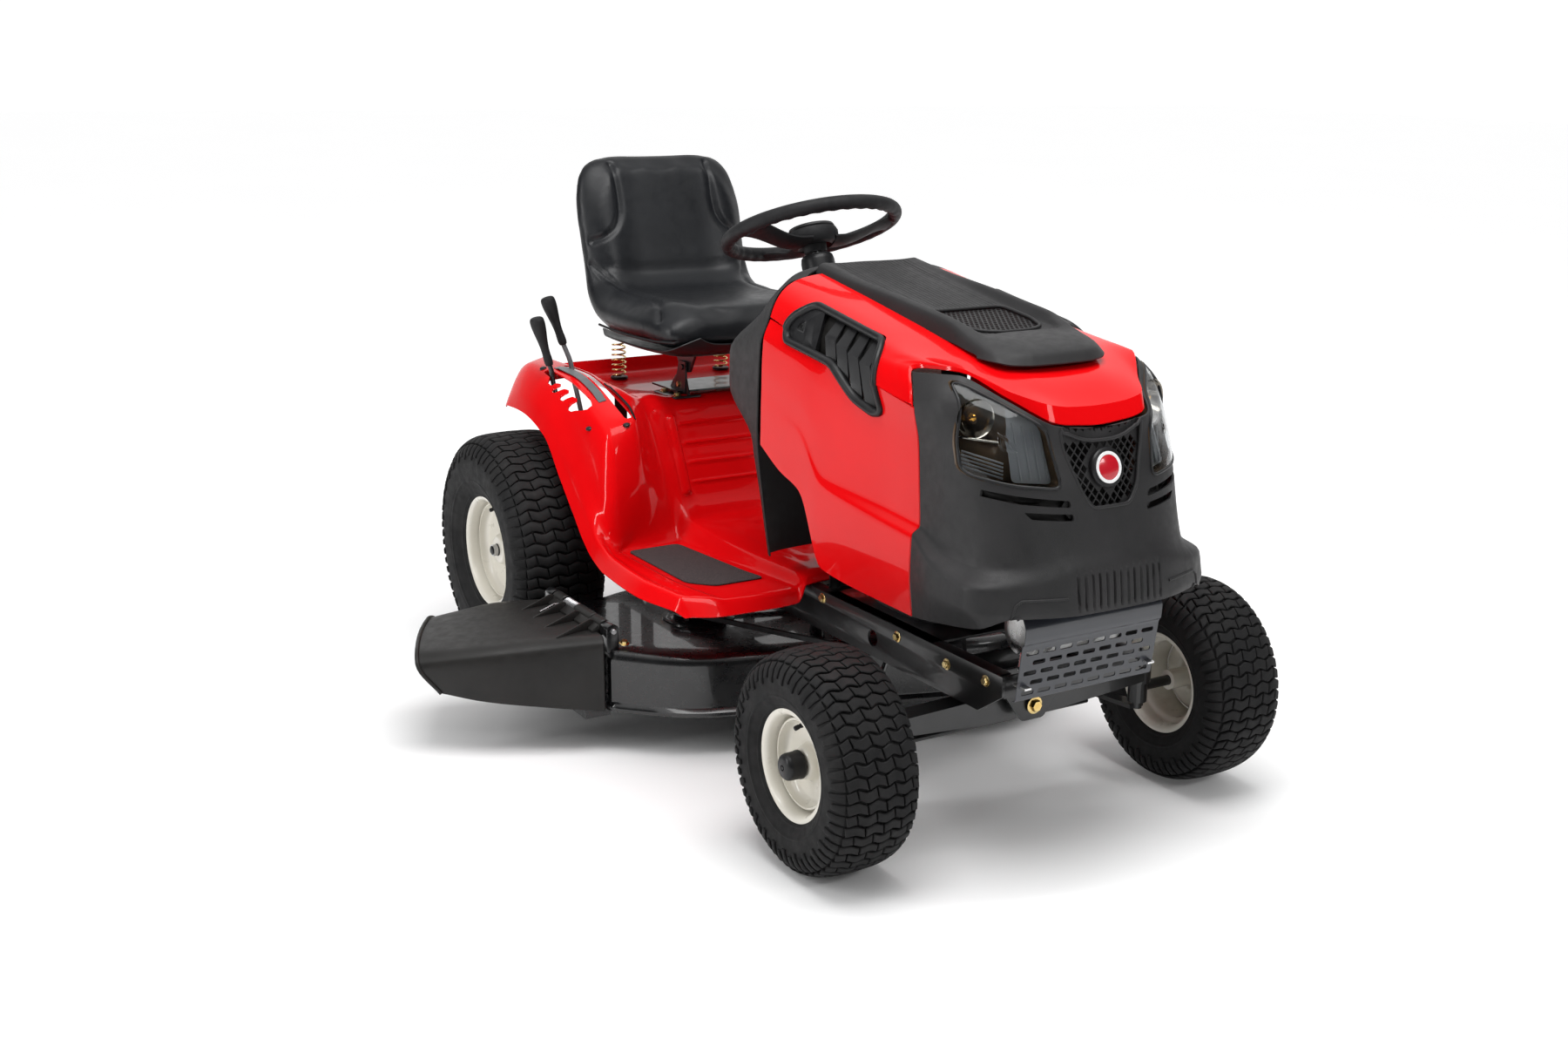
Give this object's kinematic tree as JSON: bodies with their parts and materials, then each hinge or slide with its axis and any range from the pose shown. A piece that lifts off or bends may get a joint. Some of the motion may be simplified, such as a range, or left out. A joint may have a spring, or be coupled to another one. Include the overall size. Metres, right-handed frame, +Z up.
{
  "type": "riding lawn mower",
  "caption": "Riding lawn mower: tilting hood, steered front wheels on a rocking axle, floating twin-blade side-discharge deck, folding seat.",
  "frame": {"origin": "bottom centre of the whole machine's bounding box, on the ground", "axes": "+X is the operator's left, -Y is forward, +Z is up"},
  "size_m": [1.315, 1.756, 1.0865],
  "materials": {
    "red_paint": "gloss",
    "black_plastic": "fine grain",
    "black_paint": "gloss",
    "frame_paint": "satin",
    "cast_metal": "rough cast",
    "steel": "machined",
    "zinc_steel": "yellow zinc plate",
    "tyre_rubber": "matte rubber",
    "belt_rubber": "matte rubber",
    "rim_paint": "gloss off-white",
    "vinyl": "moulded vinyl",
    "grip_mat": "coarse grit",
    "guard_paint": "satin",
    "tank_plastic": "translucent polymer",
    "headlamp_clear": "clear moulded lens"
  },
  "bodies": {
    "chassis": {"chassis_frame": "frame_paint", "transaxle": "cast_metal", "engine_block": "cast_metal", "engine_shroud": "black_plastic", "muffler": "steel", "muffler_guard": "guard_paint", "fuel_tank": "tank_plastic", "fender_body": "red_paint", "foot_mat_right": "grip_mat", "foot_mat_left": "grip_mat", "dash_panel": "black_plastic", "steering_column": "black_plastic", "seat_bracket": "frame_paint", "seat_spring_right": "zinc_steel", "seat_spring_left": "zinc_steel"},
    "hood": {"hood_top": "red_paint", "hood_side_right": "red_paint", "hood_side_left": "red_paint", "hood_cap": "black_plastic", "front_bezel": "black_plastic", "headlamp_lens_right": "headlamp_clear", "headlamp_lens_left": "headlamp_clear", "side_vent_right": "black_plastic", "side_vent_left": "black_plastic"},
    "seat": {"seat_cushion": "vinyl", "seat_pan": "black_plastic"},
    "hand_wheel": {"steering_wheel": "black_plastic", "steering_shaft": "steel"},
    "pinion": {"steering_pinion": "steel"},
    "sector": {"sector_gear": "steel"},
    "drag_link_body": {"drag_link": "zinc_steel"},
    "axle": {"front_axle": "frame_paint"},
    "knuckle_right": {"spindle_right": "frame_paint"},
    "knuckle_left": {"spindle_left": "frame_paint"},
    "tie_rod_body": {"tie_rod": "zinc_steel"},
    "front_wheel_right": {"front_tyre_right": "tyre_rubber", "front_rim_right": "rim_paint", "hub_cap_right": "black_plastic"},
    "front_wheel_left": {"front_tyre_left": "tyre_rubber", "front_rim_left": "rim_paint", "hub_cap_left": "black_plastic"},
    "rear_wheel_right": {"rear_tyre_right": "tyre_rubber", "rear_rim_right": "rim_paint", "axle_shaft_right": "steel"},
    "rear_wheel_left": {"rear_tyre_left": "tyre_rubber", "rear_rim_left": "rim_paint", "axle_shaft_left": "steel"},
    "deck": {"deck_shell": "black_paint", "drive_belt": "belt_rubber"},
    "chute": {"discharge_chute": "black_plastic"},
    "rotor_right": {"blade_right": "steel", "blade_spindle_right": "cast_metal"},
    "rotor_left": {"blade_left": "steel", "blade_spindle_left": "cast_metal"},
    "crank": {"crank_pulley": "cast_metal"},
    "lift_lever_body": {"lift_lever": "black_plastic"},
    "speed_lever_body": {"speed_lever": "black_plastic"},
    "pedal": {"brake_pedal": "frame_paint"},
    "throttle": {"throttle_lever": "black_plastic"},
    "key": {"ignition_key": "black_plastic"}
  },
  "joints": [
    {"name": "axle_pivot", "type": "hinge", "parent": "chassis", "child": "axle", "pos_m": [0.1485, -0.616, 0.226], "axis": [0, 1, 0], "range_deg": [-5, 5]},
    {"name": "steer_right", "type": "hinge", "parent": "axle", "child": "knuckle_right", "pos_m": [-0.1365, -0.616, 0.1905], "axis": [0, 0, 1], "range_deg": [-28, 28]},
    {"name": "steer_left", "type": "hinge", "parent": "axle", "child": "knuckle_left", "pos_m": [0.4335, -0.616, 0.1905], "axis": [0, 0, 1], "range_deg": [-28, 28]},
    {"name": "tie_rod_swivel", "type": "hinge", "parent": "knuckle_right", "child": "tie_rod_body", "pos_m": [-0.1145, -0.516, 0.146], "axis": [0, 0, 1], "range_deg": [-28, 28]},
    {"name": "sector_turn", "type": "hinge", "parent": "chassis", "child": "sector", "pos_m": [0.1485, -0.287, 0.266], "axis": [0, 0, 1], "range_deg": [-28, 28]},
    {"name": "drag_link_swivel", "type": "hinge", "parent": "sector", "child": "drag_link_body", "pos_m": [0.1885, -0.202, 0.246], "axis": [0, 0, 1], "range_deg": [-28, 28]},
    {"name": "pinion_turn", "type": "hinge", "parent": "chassis", "child": "pinion", "pos_m": [0.1485, -0.182, 0.268], "axis": [0, 0, 1], "range_deg": [-168, 168]},
    {"name": "steering_turn", "type": "hinge", "parent": "chassis", "child": "hand_wheel", "pos_m": [0.1485, 0.086, 0.975], "axis": [0, 0.3894, 0.9211], "range_deg": [-168, 168]},
    {"name": "front_spin_right", "type": "hinge", "parent": "knuckle_right", "child": "front_wheel_right", "pos_m": [-0.2495, -0.616, 0.1905], "axis": [1, 0, 0], "continuous": true},
    {"name": "front_spin_left", "type": "hinge", "parent": "knuckle_left", "child": "front_wheel_left", "pos_m": [0.5465, -0.616, 0.1905], "axis": [1, 0, 0], "continuous": true},
    {"name": "rear_spin_right", "type": "hinge", "parent": "chassis", "child": "rear_wheel_right", "pos_m": [-0.259, 0.624, 0.254], "axis": [1, 0, 0], "continuous": true},
    {"name": "rear_spin_left", "type": "hinge", "parent": "chassis", "child": "rear_wheel_left", "pos_m": [0.556, 0.624, 0.254], "axis": [1, 0, 0], "continuous": true},
    {"name": "hood_tilt", "type": "hinge", "parent": "chassis", "child": "hood", "pos_m": [0.1485, -0.776, 0.4], "axis": [1, 0, 0], "range_deg": [0, 70]},
    {"name": "seat_flip", "type": "hinge", "parent": "chassis", "child": "seat", "pos_m": [0.1485, 0.436, 0.656], "axis": [1, 0, 0], "range_deg": [0, 55]},
    {"name": "deck_lift", "type": "slide", "parent": "chassis", "child": "deck", "axis": [0, 0, 1], "range_m": [-0.045, 0], "deforming": ["drive_belt"]},
    {"name": "chute_hinge", "type": "hinge", "parent": "deck", "child": "chute", "pos_m": [-0.3275, 0.164, 0.243], "axis": [0, 1, 0], "range_deg": [0, 75]},
    {"name": "blade_spin_right", "type": "hinge", "parent": "deck", "child": "rotor_right", "pos_m": [-0.0865, 0.124, 0.18], "axis": [0, 0, 1], "continuous": true},
    {"name": "blade_spin_left", "type": "hinge", "parent": "deck", "child": "rotor_left", "pos_m": [0.3835, -0.036, 0.18], "axis": [0, 0, 1], "continuous": true},
    {"name": "crank_spin", "type": "hinge", "parent": "chassis", "child": "crank", "pos_m": [0.1485, -0.386, 0.27], "axis": [0, 0, 1], "continuous": true},
    {"name": "lift_lever_swing", "type": "hinge", "parent": "chassis", "child": "lift_lever_body", "pos_m": [-0.1415, 0.424, 0.345], "axis": [1, 0, 0], "range_deg": [0, 32]},
    {"name": "speed_lever_swing", "type": "hinge", "parent": "chassis", "child": "speed_lever_body", "pos_m": [-0.1135, 0.424, 0.345], "axis": [1, 0, 0], "range_deg": [0, 38]},
    {"name": "pedal_press", "type": "hinge", "parent": "chassis", "child": "pedal", "pos_m": [0.1485, -0.104, 0.3], "axis": [1, 0, 0], "range_deg": [0, 16], "stiffness_Nm_per_rad": 20, "springref_deg": -8.59},
    {"name": "throttle_swing", "type": "hinge", "parent": "chassis", "child": "throttle", "pos_m": [0.0365, -0.01815, 0.79457], "axis": [1, 0, 0], "range_deg": [-12, 12]},
    {"name": "key_turn", "type": "hinge", "parent": "chassis", "child": "key", "pos_m": [0.2605, 0.002, 0.811], "axis": [0, 0.775, 0.632], "range_deg": [0, 60]}
  ],
  "couplings": [
    {"joint": "steer_left", "follows": "steer_right", "ratio": 1},
    {"joint": "tie_rod_swivel", "follows": "steer_right", "ratio": -1},
    {"joint": "sector_turn", "follows": "steer_right", "ratio": 1},
    {"joint": "drag_link_swivel", "follows": "steer_right", "ratio": -1},
    {"joint": "pinion_turn", "follows": "steer_right", "ratio": -6},
    {"joint": "steering_turn", "follows": "steer_right", "ratio": -6},
    {"joint": "lift_lever_swing", "follows": "deck_lift", "rad_per_m": -12.41},
    {"joint": "blade_spin_left", "follows": "blade_spin_right", "ratio": 1},
    {"joint": "crank_spin", "follows": "blade_spin_right", "ratio": 1.2}
  ]
}
